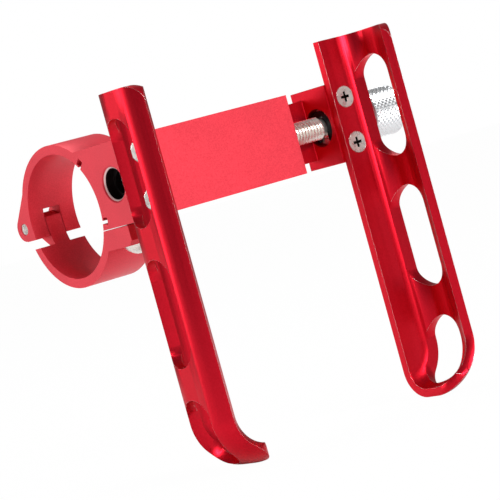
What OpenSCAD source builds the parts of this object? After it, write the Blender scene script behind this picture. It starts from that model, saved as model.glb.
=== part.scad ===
// Adjustable bottle cage for a handlebar.
// Origin: centre of the handlebar bore. +X runs along the bar towards the knob,
// +Y points back through the bar, +Z points up. Millimetres.

/* [Handlebar clamp] */
// Diameter of the handlebar that the clamp closes on
bar_d = 31.8; // [25.4:0.1:35]
// Width of the clamp along the bar
clamp_w = 14; // [12:0.5:20]
// Wall of the clamp ring
clamp_wall = 2.4; // [2:0.1:4]
// Diameter of the hinge pin
pin_d = 3; // [2.5:0.5:4]
// Thickness of the jaw's ear under the bolt
ear_t = 5; // [4:0.5:7]
// Diameter of the clamp bolt
bolt_d = 5; // [4:0.5:5]
// Opening between the jaw and the body when closed
split_gap = 0.2; // [0.1:0.05:1]

/* [Body] */
// Length of the body along the bar
body_len = 54; // [46:1:90]
// Height of the body
body_h = 20.5; // [19:0.5:30]
// Height of the body's centre line above the bar's axis
body_rise = 4.5; // [3:0.5:5]
// Clearance between the bar and the back of the body
bar_clear = 0.5; // [0.3:0.1:3]
// Metal in front of the adjuster screw's bore
front_wall = 2.95; // [2.5:0.05:6]
// Metal between the guide slot and the back of the body
back_wall = 1.4; // [1:0.1:3]

/* [Slider] */
// Opening between the body and the slider as shown
slide_gap = 12.5; // [1:0.5:25]
// Width of the slider block
slider_w = 12.8; // [12:0.2:20]
// Length of the guide tongue
guide_len = 38; // [30:1:38]
// Thickness of the guide tongue
guide_t = 2.5; // [2:0.1:4]
// Height of the guide tongue
guide_h = 16; // [12:0.5:18]

/* [Adjuster] */
// Diameter of the adjuster screw
screw_d = 6; // [5:0.5:6]
// Length of screw thread past the slider's face
thread_len = 48; // [40:1:54]
// Diameter of the knob
knob_d = 13; // [11:0.5:13.5]
// Length of the knob
knob_len = 11; // [10:1:30]

/* [Arms] */
// Height of an arm
arm_h = 94.6; // [80:0.2:140]
// Height of an arm's top above the bar's axis
arm_top = 25.8; // [18:0.2:40]
// Reach of an arm across its back, and of its hook
arm_w = 13; // [13:0.5:20]
// Wall of an arm
arm_wall = 2.2; // [1.8:0.1:3]
// Radius of the back corner
corner_r = 7; // [6:0.5:8]
// Flat stretch of the side between the corner and the curl
side_flat = 4; // [2:0.5:12]
// Radius of the front curl
curl_r = 11; // [8:0.5:14]
// Angle of the front curl
curl_angle = 43; // [30:1:50]
// Width of an arm's windows
window_w = 10.5; // [8:0.5:11]
// Length of each of the two upper windows
window_len = 26.8; // [20:0.2:32]
// Metal between two windows
bridge = 7.8; // [5:0.2:12]
// Metal above the top window
top_margin = 6.5; // [5:0.5:12]
// Metal between an arm's back face and its windows
window_back = 2.6; // [2.6:0.1:4]
// Distance between an arm's two screws
screw_pitch = 12; // [12:0.5:16]
// Diameter of the arm screws
arm_screw_d = 3; // [2.5:0.5:3.5]
// Length of the arm screws
arm_screw_len = 8; // [6:1:8]

/* [Hidden] */
$fn = 96;

fit = 0.05;          // running clearance on a radius
slide_fit = 0.1;     // clearance round the guide tongue
seat = 0.02;         // clearance between parts that turn together
over = 1;            // how far a cut runs past the face that it opens

// Clamp
bore_r = bar_d / 2;
ring_r = bore_r + clamp_wall;
body_bottom = body_rise - body_h / 2;
body_top = body_rise + body_h / 2;
pin_r = pin_d / 2;
knuckle_r = pin_r + 1.7;
pin_y = ring_r + 1.4;
pin_z = -0.4;
prong_end = pin_z - knuckle_r - 0.1;
tongue_w = clamp_w * 0.34;
tongue_gap = 0.2;
window_top = pin_z + knuckle_r + 0.7;
jaw_end = prong_end - 2.3;
ear_top = body_bottom - split_gap;
ear_bottom = ear_top - ear_t;
bolt_r = bolt_d / 2;
bolt_y = -(bore_r + bolt_r + 1.1);
ear_front = bolt_y - bolt_r - 3.5;
bolt_swing = 0.4;                     // room for the bolt to swing out with the jaw
bolt_reach = 6.2;                     // depth of the bolt in the body
bolt_head_r = bolt_d * 0.95;
bolt_head_h = bolt_d * 0.55;
groove = 1.7;                         // side of the two small grooves beside the bore
groove_lip = 0.5;

// Body, slider and adjuster
x0 = -clamp_w / 2;
body_end = x0 + body_len;
back_y = -(bore_r + bar_clear);
slot_back = back_y - back_wall;
slot_front = slot_back - guide_t - 2 * slide_fit;
guide_y = slot_back - slide_fit - guide_t / 2;
screw_r = screw_d / 2;
web = 0.8;                            // metal between the guide slot and the screw's bore
axis_y = slot_front - web - screw_r - fit;
front_y = axis_y - screw_r - fit - front_wall;
slider_x = body_end + slide_gap;
slider_end = slider_x + slider_w;
tongue_end = slider_x - guide_len;
closed_gap = 0.6;                     // opening left when the slider is fully in
slot_end = max(clamp_w / 2 + 1, tongue_end - (slide_gap - closed_gap) - 1);
mouth_r = screw_r + 0.9;
mouth_depth = 3;
pocket_r = screw_r + 1.9;
pocket_depth = 2.3;
washer_t = 0.8;
clip_t = 0.8;
end_play = 0.1;
groove_r = screw_r - 0.6;
clip_x = slider_x + pocket_depth - washer_t - end_play - clip_t;
washer_x = slider_x + pocket_depth - washer_t;
knob_x = slider_end + washer_t + end_play;
knob_r = knob_d / 2;
thread_end = slider_x - thread_len;

// Arms
arm_depth = corner_r + side_flat + curl_r * sin(curl_angle);
arm_bottom = arm_top - arm_h;
bend_z = arm_bottom + arm_w;
straight_h = arm_top - bend_z;
screw_inset = arm_w - 3.8;            // from the arm's outer side to its screws
arm_set_back = 0.5;                   // from the slider's face to the arm's inner edge
left_x = x0 + 4.5 - screw_inset + arm_w;
right_x = slider_x + arm_set_back;
window_r = window_w / 2;
window_d = window_back + window_r;
window_cut = corner_r + 1.2;
first_window = arm_top - top_margin - window_len;
second_window = first_window - bridge - window_len;
third_window_top = second_window - bridge;
hook_window_angle = 42;               // where the hook window's round end is centred
tip_r = 6;
crown_r = 4.5;
head_r = arm_screw_d * 0.9;
head_h = head_r - arm_screw_d / 2;
hole_play = 0.1;
recess_d = 1;                         // width across the driver recess

// A cylinder along X from xa to xb, centred on the adjuster's axis
module rod_x(xa, xb, r) {
    translate([xa, axis_y, body_rise]) rotate([0, 90, 0]) cylinder(h = xb - xa, r = r);
}

// Extrudes a Y-Z outline along X from xa to xb
module along_x(xa, xb) {
    translate([xa, 0, 0]) rotate([90, 0, 90]) linear_extrude(height = xb - xa) children();
}

// The outline of the ring and the hinge knuckle above the split
module fixed_ring_2d() {
    intersection() {
        circle(r = ring_r);
        translate([-ring_r, prong_end]) square([2 * ring_r, 2 * ring_r]);
    }
    translate([pin_y, pin_z]) circle(r = knuckle_r);
    polygon([[bore_r, prong_end], [pin_y, prong_end], [pin_y + knuckle_r * cos(35), pin_z + knuckle_r * sin(35)],
             [ring_r * cos(27), ring_r * sin(27)], [bore_r * cos(27), bore_r * sin(27)]]);
}

// One small groove behind the bore's surface, with a thin lip in front of it
module bore_groove_2d(angle) {
    rotate(180 - angle) {
        translate([bore_r + groove_lip, -groove / 2]) square([groove, groove]);
        translate([bore_r - over, 0]) square([groove_lip + over + 0.1, groove / 2]);
    }
}

module body() {
    color("crimson") difference() {
        union() {
            along_x(x0, -x0) difference() {
                union() {
                    fixed_ring_2d();
                    translate([front_y, body_bottom]) square([-front_y - bore_r * 0.655, body_h]);
                }
                circle(r = bore_r);
                translate([-ring_r, body_bottom - ring_r]) square([ring_r, ring_r]);
                bore_groove_2d(43);
                bore_groove_2d(-12);
            }
            translate([-x0 - over, front_y, body_bottom])
                cube([body_end + x0 + over, back_y - front_y, body_h]);
        }
        // hinge pin and the window between the two prongs
        along_x(x0 - over, -x0 + over) translate([pin_y, pin_z]) circle(r = pin_r + fit / 2);
        translate([-tongue_w / 2 - tongue_gap, bore_r * 0.7, prong_end - over])
            cube([tongue_w + 2 * tongue_gap, ring_r, window_top - prong_end + over]);
        // adjuster screw's bore and its mouth
        rod_x(x0 - over, body_end + over, screw_r + fit);
        rod_x(x0 - over, x0 + mouth_depth, mouth_r);
        translate([x0 - 0.01, axis_y, body_rise]) rotate([0, 90, 0])
            cylinder(h = 0.7, r1 = mouth_r + 0.7, r2 = mouth_r);
        // guide slot
        translate([slot_end, slot_front, body_rise - guide_h / 2 - slide_fit])
            cube([body_end - slot_end + over, slot_back - slot_front, guide_h + 2 * slide_fit]);
        // clamp bolt
        translate([0, bolt_y, body_bottom - over])
            cylinder(h = bolt_reach + 0.4 + over, r = bolt_r + bolt_swing);
        // arm screws
        for (side = [-1, 1])
            translate([left_x - arm_w + screw_inset, front_y - over, body_rise + side * screw_pitch / 2])
                rotate([-90, 0, 0]) cylinder(h = arm_screw_len - arm_wall + 0.5 + over, r = arm_screw_d / 2 + fit);
    }
}

module clamp_jaw() {
    color("crimson") difference() {
        union() {
            along_x(x0, -x0) difference() {
                union() {
                    intersection() {
                        circle(r = ring_r);
                        union() {
                            translate([-ring_r, jaw_end - ring_r]) square([2 * ring_r, ring_r]);
                            translate([-ring_r, ear_top - ring_r]) square([ring_r, ring_r]);
                        }
                    }
                    polygon([[-bore_r * 0.8, ear_top], [ear_front, ear_top], [ear_front, ear_bottom + 1.2],
                             [ear_front + 1.2, ear_bottom], [-bore_r * 0.8, ear_bottom]]);
                }
                circle(r = bore_r);
            }
            // tongue that reaches up between the prongs to the pin
            along_x(-tongue_w / 2, tongue_w / 2) difference() {
                union() {
                    intersection() {
                        circle(r = ring_r);
                        translate([0, jaw_end - over]) square([ring_r, pin_z - jaw_end + over + 1.8]);
                    }
                    translate([pin_y, pin_z]) circle(r = knuckle_r - 0.2);
                    polygon([[bore_r, jaw_end - 0.5], [ring_r * cos(19), -ring_r * sin(19)],
                             [pin_y + 1.6, pin_z - 2.3], [pin_y, pin_z + 1.8], [bore_r, pin_z + 1.8]]);
                }
                circle(r = bore_r);
            }
        }
        along_x(x0 - over, -x0 + over) translate([pin_y, pin_z]) circle(r = pin_r + fit);
        translate([0, bolt_y, ear_bottom - over]) cylinder(h = ear_t + 2 * over, r = bolt_r + fit);
        // seat cut for the bolt's head
        translate([0, bolt_y, ear_bottom - ring_r]) cylinder(h = ring_r, r = bolt_head_r + 0.3);
    }
}

module hinge_pin() {
    color("silver") along_x(x0 + 0.2, -x0 - 0.2) translate([pin_y, pin_z]) circle(r = pin_r);
}

// A six-sided socket, across_flats wide and deep from z = 0 upwards
module hex_socket(across_flats, depth) {
    translate([0, 0, -over]) cylinder(h = depth + over, r = across_flats / sqrt(3), $fn = 6);
}

module clamp_bolt() {
    dome_r = (bolt_head_r * bolt_head_r + bolt_head_h * bolt_head_h) / (2 * bolt_head_h);
    color("silver") translate([0, bolt_y, ear_bottom]) difference() {
        union() {
            cylinder(h = ear_t + split_gap + bolt_reach, r = bolt_r);
            intersection() {
                translate([0, 0, dome_r - bolt_head_h]) sphere(r = dome_r);
                translate([0, 0, -bolt_head_h]) cylinder(h = bolt_head_h, r = bolt_head_r + over);
            }
        }
        translate([0, 0, -bolt_head_h]) hex_socket(bolt_d * 0.6, bolt_head_h * 0.7);
    }
}

// Outline of an arm's channel: x runs from its outer side at -arm_w to 0,
// and y runs forward from the back face at 0 to -arm_depth
module channel_2d() {
    far = 2 * curl_r;
    mirror([0, 1]) translate([-arm_w, 0]) {
        translate([corner_r, 0]) square([arm_w - corner_r, arm_wall]);
        intersection() {
            translate([corner_r, corner_r]) difference() {
                circle(r = corner_r);
                circle(r = corner_r - arm_wall);
            }
            square([corner_r, corner_r]);
        }
        translate([0, corner_r]) square([arm_wall, side_flat]);
        translate([curl_r, corner_r + side_flat]) intersection() {
            difference() {
                circle(r = curl_r);
                circle(r = curl_r - arm_wall);
            }
            polygon([[0, 0], [-far, 0], [-far, far * tan(curl_angle)]]);
        }
    }
}

// A window cut through the side, round at both ends, from za up to zb
module side_window(za, zb) {
    for (z = [za + window_r, zb - window_r])
        translate([-arm_w - over, -window_d, z]) rotate([0, 90, 0])
            cylinder(h = window_cut + over, r = window_r);
    translate([-arm_w - over, -window_d - window_r, za + window_r])
        cube([window_cut + over, window_w, zb - za - window_w]);
}

// The lowest window, which runs down the side and round the bend
module hook_window(top) {
    translate([-arm_w - over, -window_d, top - window_r]) rotate([0, 90, 0])
        cylinder(h = window_cut + over, r = window_r);
    translate([-arm_w - over, -window_d - window_r, bend_z - 0.01])
        cube([window_cut + over, window_w, top - window_r - bend_z + 0.01]);
    translate([0, 0, bend_z]) rotate([90, 0, 0]) rotate([0, 0, 180]) {
        rotate_extrude(angle = hook_window_angle)
            translate([arm_w - window_cut, window_back]) square([window_cut + over, window_w]);
        rotate([0, 0, hook_window_angle]) translate([arm_w - window_cut, 0, window_d])
            rotate([0, 90, 0]) cylinder(h = window_cut + over, r = window_r);
    }
}

// One arm with its inner edge line at x = 0, its outer side at x = -arm_w
// and its back face at y = 0; z is the row's own height
module arm() {
    difference() {
        union() {
            translate([0, 0, bend_z]) linear_extrude(height = straight_h) channel_2d();
            translate([0, 0, bend_z]) rotate([90, 0, 0]) rotate([0, 0, 180])
                rotate_extrude(angle = 90) rotate(180) channel_2d();
        }
        side_window(first_window, first_window + window_len);
        side_window(second_window, second_window + window_len);
        hook_window(third_window_top);
        // round front corner of the hook's tip
        translate([-tip_r, -arm_depth, arm_bottom - over]) difference() {
            translate([0, -over, 0]) cube([tip_r + over, tip_r + over, arm_w + over]);
            translate([0, tip_r, -over]) cylinder(h = arm_w + 3 * over, r = tip_r);
        }
        // round front corner of the top
        translate([-arm_w - over, -arm_depth, arm_top - crown_r]) difference() {
            translate([0, -over, 0]) cube([arm_w + 2 * over, crown_r + over, crown_r + over]);
            translate([-over, crown_r, 0]) rotate([0, 90, 0]) cylinder(h = arm_w + 4 * over, r = crown_r);
        }
        // countersunk screw holes
        for (side = [-1, 1])
            translate([-arm_w + screw_inset, 0, body_rise + side * screw_pitch / 2]) rotate([90, 0, 0]) {
                translate([0, 0, -over]) cylinder(h = arm_wall + 2 * over, r = arm_screw_d / 2 + hole_play);
                translate([0, 0, arm_wall - head_h - hole_play])
                    cylinder(h = head_h + hole_play + 0.01, r1 = arm_screw_d / 2, r2 = head_r + hole_play + 0.01);
            }
    }
}

module left_arm() {
    color("crimson") translate([left_x, front_y, 0]) arm();
}

module right_arm() {
    color("crimson") translate([right_x, front_y, 0]) mirror([1, 0, 0]) arm();
}

// A countersunk screw with a cross recess, its head's face at y = 0, pointing along +Y
module arm_screw() {
    rotate([-90, 0, 0]) difference() {
        union() {
            cylinder(h = arm_screw_len, r = arm_screw_d / 2);
            cylinder(h = head_h, r1 = head_r, r2 = arm_screw_d / 2);
        }
        for (turn = [0, 90])
            rotate([0, 0, turn]) translate([-arm_screw_d * 0.45, -recess_d * 0.35, -over])
                cube([arm_screw_d * 0.9, recess_d * 0.7, over + 0.9]);
    }
}

module left_screw(side) {
    color("silver") translate([left_x - arm_w + screw_inset, front_y - arm_wall, body_rise + side * screw_pitch / 2])
        arm_screw();
}

module right_screw(side) {
    color("silver") translate([right_x + arm_w - screw_inset, front_y - arm_wall, body_rise + side * screw_pitch / 2])
        arm_screw();
}

module slider_block() {
    color("crimson") difference() {
        union() {
            translate([slider_x, front_y, body_bottom]) cube([slider_w, back_y - front_y, body_h]);
            translate([tongue_end, guide_y - guide_t / 2, body_rise - guide_h / 2])
                cube([guide_len + over, guide_t, guide_h]);
        }
        rod_x(slider_x - over, slider_end + over, screw_r + fit);
        rod_x(slider_x, slider_x + pocket_depth, pocket_r);
        for (side = [-1, 1])
            translate([right_x + arm_w - screw_inset, front_y - over, body_rise + side * screw_pitch / 2])
                rotate([-90, 0, 0]) cylinder(h = arm_screw_len - arm_wall + 0.5 + over, r = arm_screw_d / 2 + fit);
    }
}

module adjuster_screw() {
    color("silver") difference() {
        rod_x(thread_end, knob_x + knob_len - 3, screw_r);
        rod_x(clip_x - 0.05, clip_x + clip_t + 0.05, screw_r + over);
    }
    color("silver") rod_x(clip_x - 0.1, clip_x + clip_t + 0.1, groove_r);
}

module knob() {
    chamfer = 0.8;
    color("gainsboro") difference() {
        union() {
            rod_x(knob_x + chamfer, knob_x + knob_len - chamfer, knob_r);
            translate([knob_x, axis_y, body_rise]) rotate([0, 90, 0])
                cylinder(h = chamfer, r1 = knob_r - chamfer, r2 = knob_r);
            translate([knob_x + knob_len - chamfer, axis_y, body_rise]) rotate([0, 90, 0])
                cylinder(h = chamfer, r1 = knob_r, r2 = knob_r - chamfer);
        }
        rod_x(knob_x - over, knob_x + knob_len - 3 + seat, screw_r + seat);
    }
}

module knob_washer() {
    color("silver") difference() {
        rod_x(slider_end, slider_end + washer_t, screw_r + 2);
        rod_x(slider_end - over, slider_end + washer_t + over, screw_r + fit);
    }
}

module retaining_washer() {
    color("silver") difference() {
        rod_x(washer_x, washer_x + washer_t, pocket_r - 0.2);
        rod_x(washer_x - over, washer_x + washer_t + over, screw_r + fit);
    }
}

module retaining_clip() {
    color("dimgray") difference() {
        rod_x(clip_x, clip_x + clip_t, pocket_r - 0.6);
        rod_x(clip_x - over, clip_x + clip_t + over, groove_r + seat);
        translate([clip_x - over, axis_y - groove_r * 0.8, body_rise - pocket_r])
            cube([clip_t + 2 * over, groove_r * 1.6, pocket_r]);
    }
}

body();
clamp_jaw();
hinge_pin();
clamp_bolt();
left_arm();
left_screw(1);  // left_screw_upper
left_screw(-1);  // left_screw_lower
slider_block();
right_arm();
right_screw(1);  // right_screw_upper
right_screw(-1);  // right_screw_lower
adjuster_screw();
knob();
knob_washer();
retaining_washer();
retaining_clip();
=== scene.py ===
import math

import bpy
from mathutils import Matrix, Vector


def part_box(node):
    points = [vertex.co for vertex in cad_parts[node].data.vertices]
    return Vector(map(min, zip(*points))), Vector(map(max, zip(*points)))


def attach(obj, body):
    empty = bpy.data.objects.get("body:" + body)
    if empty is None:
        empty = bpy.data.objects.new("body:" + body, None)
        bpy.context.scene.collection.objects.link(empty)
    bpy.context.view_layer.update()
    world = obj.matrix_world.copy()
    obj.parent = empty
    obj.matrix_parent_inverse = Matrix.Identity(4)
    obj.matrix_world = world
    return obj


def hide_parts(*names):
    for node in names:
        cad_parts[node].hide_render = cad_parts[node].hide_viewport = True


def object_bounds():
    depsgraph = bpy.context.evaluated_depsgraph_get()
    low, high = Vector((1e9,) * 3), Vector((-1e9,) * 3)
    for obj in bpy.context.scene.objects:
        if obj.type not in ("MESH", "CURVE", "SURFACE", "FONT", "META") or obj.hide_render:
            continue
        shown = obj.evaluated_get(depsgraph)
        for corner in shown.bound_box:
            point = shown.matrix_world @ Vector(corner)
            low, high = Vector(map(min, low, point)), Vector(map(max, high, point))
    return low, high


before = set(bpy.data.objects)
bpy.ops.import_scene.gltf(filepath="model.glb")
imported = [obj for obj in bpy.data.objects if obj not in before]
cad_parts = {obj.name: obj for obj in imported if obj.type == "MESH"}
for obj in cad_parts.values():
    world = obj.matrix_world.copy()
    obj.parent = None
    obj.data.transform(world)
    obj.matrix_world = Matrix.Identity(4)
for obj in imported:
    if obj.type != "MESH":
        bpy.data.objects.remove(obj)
cad_box = [list(corner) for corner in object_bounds()]
bpy.ops.object.select_all(action="DESELECT")
mm = 0.001

# Camera: a long lens at eye level, in front of the cage and to the clamp's side.
# It is rolled, so that the arms lean to the left as they do on a tilted handlebar.
view_azimuth = math.radians(36.97)
view_elevation = math.radians(1.88)
view_roll = math.radians(15.51)
forward = Vector((math.sin(view_azimuth) * math.cos(view_elevation),
                  math.cos(view_azimuth) * math.cos(view_elevation),
                  -math.sin(view_elevation)))
level_right = forward.cross(Vector((0, 0, 1))).normalized()
level_up = level_right.cross(forward)
camera_right = math.cos(view_roll) * level_right - math.sin(view_roll) * level_up
camera_up = math.sin(view_roll) * level_right + math.cos(view_roll) * level_up
bpy.ops.object.camera_add()
camera = bpy.context.object
camera.name = "camera"
camera.data.lens = 187
camera.data.sensor_width = 36
camera.data.clip_start = 0.01
camera.data.clip_end = 20
turn = Matrix((camera_right, camera_up, -forward)).transposed().to_4x4()
camera.matrix_world = Matrix.Translation((-362.7 * mm, -542.8 * mm, 1.0 * mm)) @ turn
bpy.context.scene.camera = camera

# Red anodised aluminium: extruded or milled, bead blasted, then dyed and sealed.
# The blasting leaves a fine even grain that spreads the light, so lit faces go
# pale and pinkish, and hollows keep the deep colour of the dye.
def colour(code):
    parts = [int(code[i:i + 2], 16) / 255 for i in (1, 3, 5)]
    return [p / 12.92 if p <= 0.04045 else ((p + 0.055) / 1.055) ** 2.4 for p in parts] + [1]


def add_node(tree, kind, settings={}, links={}):
    node = tree.nodes.new(kind)
    for name, value in settings.items():
        if isinstance(name, str) and name.startswith("."):
            setattr(node, name[1:], value)
        else:
            node.inputs[name].default_value = value
    for name, (source, output) in links.items():
        tree.links.new(source.outputs[output], node.inputs[name])
    return node


def start_material(name):
    material = bpy.data.materials.new(name)
    material.use_nodes = True
    return material, material.node_tree, material.node_tree.nodes["Principled BSDF"]


red_anodised, tree, surface = start_material("RedAnodisedAluminium")
surface.inputs["Metallic"].default_value = 0.4
place = add_node(tree, "ShaderNodeTexCoord")
# blasting grit is about 0.1 mm; drawn at 0.35 mm so that it shows
grit = add_node(tree, "ShaderNodeTexNoise",
                {"Scale": 1 / (0.35 * mm), "Detail": 3, "Roughness": 0.6}, {"Vector": (place, "Object")})
# the dye takes a little unevenly over some 12 mm
drift = add_node(tree, "ShaderNodeTexNoise",
                 {"Scale": 1 / (12 * mm), "Detail": 2}, {"Vector": (place, "Object")})
dye = add_node(tree, "ShaderNodeMix",
               {".data_type": "RGBA", 6: colour("#C91429"), 7: colour("#F54555")}, {0: (grit, "Fac")})
depth = add_node(tree, "ShaderNodeMapRange",
                 {"From Min": 0.3, "From Max": 0.7, "To Min": 0.93, "To Max": 1.05}, {"Value": (drift, "Fac")})
tone = add_node(tree, "ShaderNodeHueSaturation", {}, {"Color": (dye, 2), "Value": (depth, "Result")})
# the adjuster's bore is painted near black as shade, and a thin ring round its countersunk mouth is painted pale as
# a highlight
bore_low, bore_high = (Vector(corner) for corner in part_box("adjuster_screw"))
centred = add_node(tree, "ShaderNodeMapping",
                   {"Location": (0, -(bore_low.y + bore_high.y) / 2, -(bore_low.z + bore_high.z) / 2)},
                   {"Vector": (place, "Object")})
apart = add_node(tree, "ShaderNodeSeparateXYZ", {}, {"Vector": (centred, "Vector")})
across = add_node(tree, "ShaderNodeCombineXYZ", {}, {"Y": (apart, "Y"), "Z": (apart, "Z")})
radius = add_node(tree, "ShaderNodeVectorMath", {".operation": "LENGTH"}, {0: (across, "Vector")})
left_end = add_node(tree, "ShaderNodeMath", {".operation": "LESS_THAN", 1: 40 * mm}, {0: (apart, "X")})
in_bore = add_node(tree, "ShaderNodeMath", {".operation": "LESS_THAN", 1: 3.93 * mm}, {0: (radius, "Value")})
in_mouth = add_node(tree, "ShaderNodeMath", {".operation": "LESS_THAN", 1: 4.25 * mm}, {0: (radius, "Value")})
bore_shade_mask = add_node(tree, "ShaderNodeMath", {".operation": "MULTIPLY"}, {0: (in_bore, "Value"), 1: (left_end, "Value")})
mouth_highlight_mask = add_node(tree, "ShaderNodeMath", {".operation": "MULTIPLY"}, {0: (in_mouth, "Value"), 1: (left_end, "Value")})
# painted highlight: a pale ring round the bore's mouth
mouth_highlight = add_node(tree, "ShaderNodeMix", {".data_type": "RGBA", 7: colour("#F4D2D0")},
                 {0: (mouth_highlight_mask, "Value"), 6: (tone, "Color")})
# painted shade: the inside of the bore goes near black
bore_shade = add_node(tree, "ShaderNodeMix", {".data_type": "RGBA", 7: colour("#120305")},
                 {0: (bore_shade_mask, "Value"), 6: (mouth_highlight, 2)})
sheen = add_node(tree, "ShaderNodeMapRange",
                 {"From Min": 0.3, "From Max": 0.7, "To Min": 0.38, "To Max": 0.52}, {"Value": (grit, "Fac")})
grain = add_node(tree, "ShaderNodeBump",
                 {"Strength": 0.35, "Distance": 0.02 * mm}, {"Height": (grit, "Fac")})
tree.links.new(bore_shade.outputs[2], surface.inputs["Base Color"])
tree.links.new(sheen.outputs["Result"], surface.inputs["Roughness"])
tree.links.new(grain.outputs["Normal"], surface.inputs["Normal"])

# Red anodised channel: the arms are extruded, lightly polished and dyed the same.
# The smoother face keeps the dye's full depth, and mirrors dark hollows softly.
channel_red, tree, surface = start_material("RedAnodisedChannel")
surface.inputs["Metallic"].default_value = 0.9
place = add_node(tree, "ShaderNodeTexCoord")
grit = add_node(tree, "ShaderNodeTexNoise",
                {"Scale": 1 / (0.4 * mm), "Detail": 3, "Roughness": 0.6}, {"Vector": (place, "Object")})
# die lines run down the arm, about 0.3 mm apart
drawn = add_node(tree, "ShaderNodeMapping",
                 {"Scale": (1 / (0.3 * mm), 1 / (0.3 * mm), 30)}, {"Vector": (place, "Object")})
lines = add_node(tree, "ShaderNodeTexNoise", {"Scale": 1, "Detail": 2}, {"Vector": (drawn, "Vector")})
dye = add_node(tree, "ShaderNodeMix",
               {".data_type": "RGBA", 6: colour("#BE071B"), 7: colour("#DA1A30")}, {0: (grit, "Fac")})
sheen = add_node(tree, "ShaderNodeMapRange",
                 {"From Min": 0.3, "From Max": 0.7, "To Min": 0.3, "To Max": 0.4}, {"Value": (lines, "Fac")})
grain = add_node(tree, "ShaderNodeBump",
                 {"Strength": 0.25, "Distance": 0.015 * mm}, {"Height": (grit, "Fac")})
tree.links.new(dye.outputs[2], surface.inputs["Base Color"])
tree.links.new(sheen.outputs["Result"], surface.inputs["Roughness"])
tree.links.new(grain.outputs["Normal"], surface.inputs["Normal"])

# Bare aluminium: turned or cut after anodising, so it is bright and faintly lined.
# The knob is turned from it, and the arms' rims show it along a thin chamfer.
bare_aluminium, tree, surface = start_material("TurnedAluminium")
surface.inputs["Base Color"].default_value = colour("#E4E6E8")
surface.inputs["Metallic"].default_value = 1
place = add_node(tree, "ShaderNodeTexCoord")
# tool marks run round the piece, 0.2 mm apart along it
along = add_node(tree, "ShaderNodeMapping", {"Scale": (1 / (0.2 * mm), 40, 40)}, {"Vector": (place, "Object")})
marks = add_node(tree, "ShaderNodeTexNoise", {"Scale": 1, "Detail": 2}, {"Vector": (along, "Vector")})
sheen = add_node(tree, "ShaderNodeMapRange",
                 {"From Min": 0.3, "From Max": 0.7, "To Min": 0.24, "To Max": 0.38}, {"Value": (marks, "Fac")})
tree.links.new(sheen.outputs["Result"], surface.inputs["Roughness"])

# Nickel plated steel: rolled or headed, then bright plated.
# It is smooth and slightly warm, with faint clouding a few millimetres across.
bright_steel, tree, surface = start_material("NickelPlatedSteel")
surface.inputs["Metallic"].default_value = 0.88
place = add_node(tree, "ShaderNodeTexCoord")
clouds = add_node(tree, "ShaderNodeTexNoise",
                  {"Scale": 1 / (1.5 * mm), "Detail": 4}, {"Vector": (place, "Object")})
plate = add_node(tree, "ShaderNodeMix",
                 {".data_type": "RGBA", 6: colour("#DDD7D0"), 7: colour("#F0ECE6")}, {0: (clouds, "Fac")})
sheen = add_node(tree, "ShaderNodeMapRange",
                 {"From Min": 0.3, "From Max": 0.7, "To Min": 0.22, "To Max": 0.34}, {"Value": (clouds, "Fac")})
tree.links.new(plate.outputs[2], surface.inputs["Base Color"])
tree.links.new(sheen.outputs["Result"], surface.inputs["Roughness"])

# Black oxide steel: spring steel stamped and chemically blackened.
# It stays dark, with a low oily shine that varies over about a millimetre.
black_steel, tree, surface = start_material("BlackOxideSteel")
surface.inputs["Base Color"].default_value = colour("#1A1A1C")
surface.inputs["Metallic"].default_value = 0.8
place = add_node(tree, "ShaderNodeTexCoord")
oil = add_node(tree, "ShaderNodeTexNoise", {"Scale": 1 / mm, "Detail": 3}, {"Vector": (place, "Object")})
sheen = add_node(tree, "ShaderNodeMapRange",
                 {"From Min": 0.3, "From Max": 0.7, "To Min": 0.3, "To Max": 0.48}, {"Value": (oil, "Fac")})
tree.links.new(sheen.outputs["Result"], surface.inputs["Roughness"])


# Clamp body, jaw and slider block: milled from solid bar and anodised all over.
# Their edges are broken by a small chamfer before the dye, so they stay red.
def finish_cad(node, material, chamfer, rim=None):
    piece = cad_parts[node]
    for slot in piece.material_slots:
        slot.material = material
    if rim:
        piece.data.materials.append(rim)
    weld = piece.modifiers.new("Weld", "WELD")
    weld.merge_threshold = 0.001 * mm
    flats = piece.modifiers.new("Flats", "DECIMATE")
    flats.decimate_type = "DISSOLVE"
    flats.angle_limit = math.radians(0.5)
    edge = piece.modifiers.new("Chamfer", "BEVEL")
    edge.width = chamfer
    edge.segments = 2
    edge.limit_method = "ANGLE"
    edge.angle_limit = math.radians(40)
    if rim:
        edge.material = len(piece.material_slots) - 1


for node in ("body", "clamp_jaw"):
    finish_cad(node, red_anodised, 0.3 * mm)
# The slider block takes the arms' deeper red as painted shade, for it sits set back in shadow.
finish_cad("slider_block", channel_red, 0.3 * mm)

# Channel arms: an extruded hooked channel, bent into a foot, with windows milled
# through its side. The windows and rims are chamfered after the dye, so a thin
# bright line follows them.
for node in ("left_arm", "right_arm"):
    finish_cad(node, channel_red, 0.22 * mm, rim=bare_aluminium)

# Hinge pin, clamp bolt and arm screws: plated steel, each a standard fastener.
# The arm screws have a cross recess and sit just below the arm's face.
# Their recess and the seat round the head are painted near black as shade.
for node in ("hinge_pin", "clamp_bolt"):
    finish_cad(node, bright_steel, 0.1 * mm)

recess_shaded_steel = bright_steel.copy()
recess_shaded_steel.name = "NickelPlatedSteelRecessShade"
tree = recess_shaded_steel.node_tree
surface = tree.nodes["Principled BSDF"]
plate_link = surface.inputs["Base Color"].links[0].from_socket
place = add_node(tree, "ShaderNodeTexCoord")
apart = add_node(tree, "ShaderNodeSeparateXYZ", {}, {"Vector": (place, "Object")})
head_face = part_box("right_screw_upper")[0].y
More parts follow.
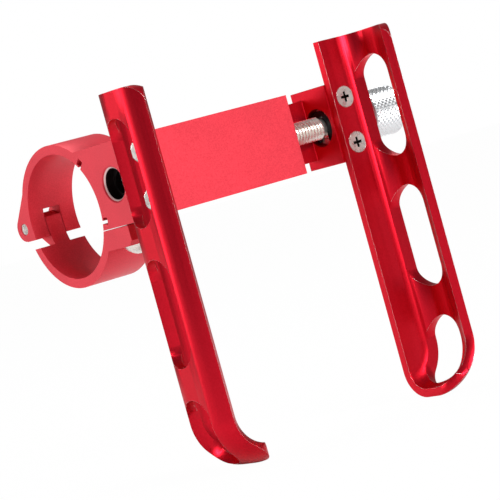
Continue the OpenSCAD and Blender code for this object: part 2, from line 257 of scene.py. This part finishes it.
# painted shade: all that lies deeper than the head's face goes near black
recess_shade_mask = add_node(tree, "ShaderNodeMath", {".operation": "GREATER_THAN", 1: head_face + 0.14 * mm}, {0: (apart, "Y")})
recess_shade = add_node(tree, "ShaderNodeMix", {".data_type": "RGBA", 7: colour("#1B0D0D")}, {0: (recess_shade_mask, "Value")})
tree.links.new(plate_link, recess_shade.inputs[6])
tree.links.new(recess_shade.outputs[2], surface.inputs["Base Color"])
for node in ("left_screw_upper", "left_screw_lower", "right_screw_upper", "right_screw_lower"):
    finish_cad(node, recess_shaded_steel, 0.06 * mm)

# Washers and clip: the knob and the slider turn on two plated washers, and a
# black spring clip in the screw's groove holds the slider to the screw.
for node in ("knob_washer", "retaining_washer"):
    finish_cad(node, bright_steel, 0.08 * mm)
finish_cad("retaining_clip", black_steel, 0.08 * mm)

# Adjuster screw: an M6 screw with a rolled 1 mm thread up to the slider, and a
# plain shank from the clip into the knob. The thread is one ridge wound on a core.
screw_low, screw_high = (Vector(corner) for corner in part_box("adjuster_screw"))
clip_low, clip_high = (Vector(corner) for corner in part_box("retaining_clip"))
axis_y = (screw_low.y + screw_high.y) / 2
axis_z = (screw_low.z + screw_high.z) / 2
screw_radius = (screw_high.z - screw_low.z) / 2
thread_pitch = 1.0 * mm
thread_start = screw_low.x + 0.8 * mm
thread_turns = int((clip_low.x - 0.3 * mm - thread_start) / thread_pitch)
thread_root = screw_radius - 0.6 * mm

bpy.ops.mesh.primitive_circle_add(vertices=3, radius=0.5 * mm)
ridge = bpy.context.object
ridge.name = "adjuster_thread"
corners = ((-0.44 * mm, thread_root - 0.08 * mm), (0.44 * mm, thread_root - 0.08 * mm), (0, screw_radius))
for vertex, (x, r) in zip(ridge.data.vertices, corners):
    vertex.co = (x, 0, r)
wind = ridge.modifiers.new("Wind", "SCREW")
wind.axis = "X"
wind.angle = math.radians(360)
wind.screw_offset = thread_pitch
wind.iterations = thread_turns
wind.steps = 28
wind.render_steps = 28
bpy.ops.object.modifier_apply(modifier="Wind")
bpy.ops.object.mode_set(mode="EDIT")
bpy.ops.mesh.select_all(action="SELECT")
bpy.ops.mesh.remove_doubles(threshold=0.0005 * mm)
bpy.ops.mesh.fill_holes(sides=3)
bpy.ops.mesh.select_all(action="SELECT")
bpy.ops.mesh.normals_make_consistent(inside=False)
bpy.ops.object.mode_set(mode="OBJECT")
ridge.location = (thread_start, axis_y, axis_z)
bpy.ops.object.transform_apply(location=True, rotation=True, scale=True)
bpy.ops.object.select_all(action="DESELECT")


def turned_rod(name, start, end, radius, break_edge):
    bpy.ops.mesh.primitive_cylinder_add(vertices=56, radius=radius, depth=end - start,
                                        location=((start + end) / 2, axis_y, axis_z),
                                        rotation=(0, math.radians(90), 0))
    rod = bpy.context.object
    rod.name = name
    bpy.ops.object.transform_apply(location=True, rotation=True, scale=True)
    edge = rod.modifiers.new("Break", "BEVEL")
    edge.width = break_edge
    edge.segments = 2
    edge.limit_method = "ANGLE"
    edge.angle_limit = math.radians(50)
    bpy.ops.object.modifier_apply(modifier="Break")
    return rod


core = turned_rod("adjuster_core", screw_low.x, screw_high.x, thread_root, 0.5 * mm)
bpy.ops.object.select_all(action="DESELECT")
shank = turned_rod("adjuster_shank", clip_high.x, screw_high.x, screw_radius, 0.2 * mm)
bpy.ops.object.select_all(action="DESELECT")
for piece in (ridge, core, shank):
    piece.select_set(True)
bpy.context.view_layer.objects.active = core
bpy.ops.object.join()
adjuster = bpy.context.object
adjuster.name = "adjuster_threaded"
adjuster.data.materials.clear()
adjuster.data.materials.append(bright_steel)
bpy.ops.object.shade_smooth_by_angle(angle=math.radians(32))
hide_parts("adjuster_screw")
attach(adjuster, "adjuster")
bpy.ops.object.select_all(action="DESELECT")

# Knob: turned aluminium with a diamond knurl rolled round it between two plain
# chamfered ends. Each diamond is a small raised pyramid about 1.1 mm across.
knob_low, knob_high = (Vector(corner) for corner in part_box("knob"))
knob_radius = (knob_high.z - knob_low.z) / 2
knurl_sides = 60
knurl_depth = 0.28 * mm
knob_chamfer = 0.7 * mm
bpy.ops.mesh.primitive_cylinder_add(vertices=knurl_sides, radius=knob_radius,
                                    depth=knob_high.x - knob_low.x,
                                    location=((knob_low.x + knob_high.x) / 2, axis_y, axis_z),
                                    rotation=(0, math.radians(90), 0))
knob = bpy.context.object
knob.name = "knob_knurled"
bpy.ops.object.transform_apply(location=True, rotation=True, scale=True)
knurl_start = knob_low.x + 1.2 * mm
knurl_end = knob_high.x - 1.2 * mm
knurl_rows = int(round((knurl_end - knurl_start) / (0.68 * mm)))
cuts = [knob_low.x + knob_chamfer, knob_high.x - knob_chamfer]
cuts += [knurl_start + (knurl_end - knurl_start) * row / knurl_rows for row in range(knurl_rows + 1)]
bpy.ops.object.mode_set(mode="EDIT")
for cut in cuts:
    bpy.ops.mesh.select_all(action="SELECT")
    bpy.ops.mesh.bisect(plane_co=(cut, axis_y, axis_z), plane_no=(1, 0, 0))
bpy.ops.object.mode_set(mode="OBJECT")
for vertex in knob.data.vertices:
    x = vertex.co.x
    angle = math.atan2(vertex.co.z - axis_z, vertex.co.y - axis_y)
    radius = knob_radius
    if x < knob_low.x + 0.1 * mm or x > knob_high.x - 0.1 * mm:
        radius = knob_radius - knob_chamfer
    elif knurl_start - 0.1 * mm < x < knurl_end + 0.1 * mm:
        row = round((x - knurl_start) / (knurl_end - knurl_start) * knurl_rows)
        column = round(angle / (2 * math.pi) * knurl_sides)
        if (row + column) % 2:
            radius = knob_radius - knurl_depth
    vertex.co.y = axis_y + radius * math.cos(angle)
    vertex.co.z = axis_z + radius * math.sin(angle)
bpy.ops.object.mode_set(mode="EDIT")
bpy.ops.mesh.select_all(action="SELECT")
bpy.ops.mesh.quads_convert_to_tris(quad_method="SHORTEST_DIAGONAL")
bpy.ops.object.mode_set(mode="OBJECT")
knob.data.materials.append(bare_aluminium)
bpy.ops.object.shade_smooth_by_angle(angle=math.radians(12))
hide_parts("knob")
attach(knob, "adjuster")
bpy.ops.object.select_all(action="DESELECT")

# Floor: a plain pale sheet under the arms' feet. It keeps a soft shadow, and
# runs on into the same white behind.
floor_z = cad_box[0][2] - 0.2 * mm
bpy.ops.mesh.primitive_plane_add(size=8, location=(0, 0, floor_z))
floor = bpy.context.object
floor.name = "floor"
floor_paper, tree, surface = start_material("PaleFloor")
surface.inputs["Base Color"].default_value = colour("#F2F2F2")
surface.inputs["Roughness"].default_value = 0.9
glow = add_node(tree, "ShaderNodeEmission", {"Color": (1, 1, 1, 1), "Strength": 1})
ray = add_node(tree, "ShaderNodeLightPath")
share = add_node(tree, "ShaderNodeMath", {".operation": "MULTIPLY", 1: 0.985}, {0: (ray, "Is Camera Ray")})
blend = add_node(tree, "ShaderNodeMixShader", {},
                 {0: (share, "Value"), 1: (surface, "BSDF"), 2: (glow, "Emission")})
tree.links.new(blend.outputs["Shader"], tree.nodes["Material Output"].inputs["Surface"])
floor.data.materials.append(floor_paper)
bpy.ops.object.select_all(action="DESELECT")

# Studio light: a dim white room, one large soft box in front, one
# behind on the left that the arms' sides mirror, and a top light for their edges.
world = bpy.data.worlds.new("studio")
bpy.context.scene.world = world
world.use_nodes = True
tree = world.node_tree
tree.nodes.clear()
room = add_node(tree, "ShaderNodeBackground", {"Color": (1, 1, 1, 1), "Strength": 0.22})
white = add_node(tree, "ShaderNodeBackground", {"Color": (1, 1, 1, 1), "Strength": 1})
ray = add_node(tree, "ShaderNodeLightPath")
blend = add_node(tree, "ShaderNodeMixShader", {},
                 {0: (ray, "Is Camera Ray"), 1: (room, "Background"), 2: (white, "Background")})
add_node(tree, "ShaderNodeOutputWorld", {}, {"Surface": (blend, "Shader")})


def soft_box(name, place, aim, size, power):
    bpy.ops.object.light_add(type="AREA", location=place)
    lamp = bpy.context.object
    lamp.name = name
    lamp.data.size = size
    lamp.data.energy = power
    lamp.rotation_euler = (Vector(aim) - Vector(place)).to_track_quat("-Z", "Y").to_euler()
    bpy.ops.object.select_all(action="DESELECT")


middle = (0.03, -0.03, -0.02)
soft_box("key", (0.05, -1.05, 0.4), middle, 0.5, 12)
soft_box("side", (-0.85, 0.6, 0.25), middle, 0.5, 4)
soft_box("top", (0.1, 0.3, 0.9), middle, 0.4, 5)

scene = bpy.context.scene
scene.view_settings.view_transform = "Standard"
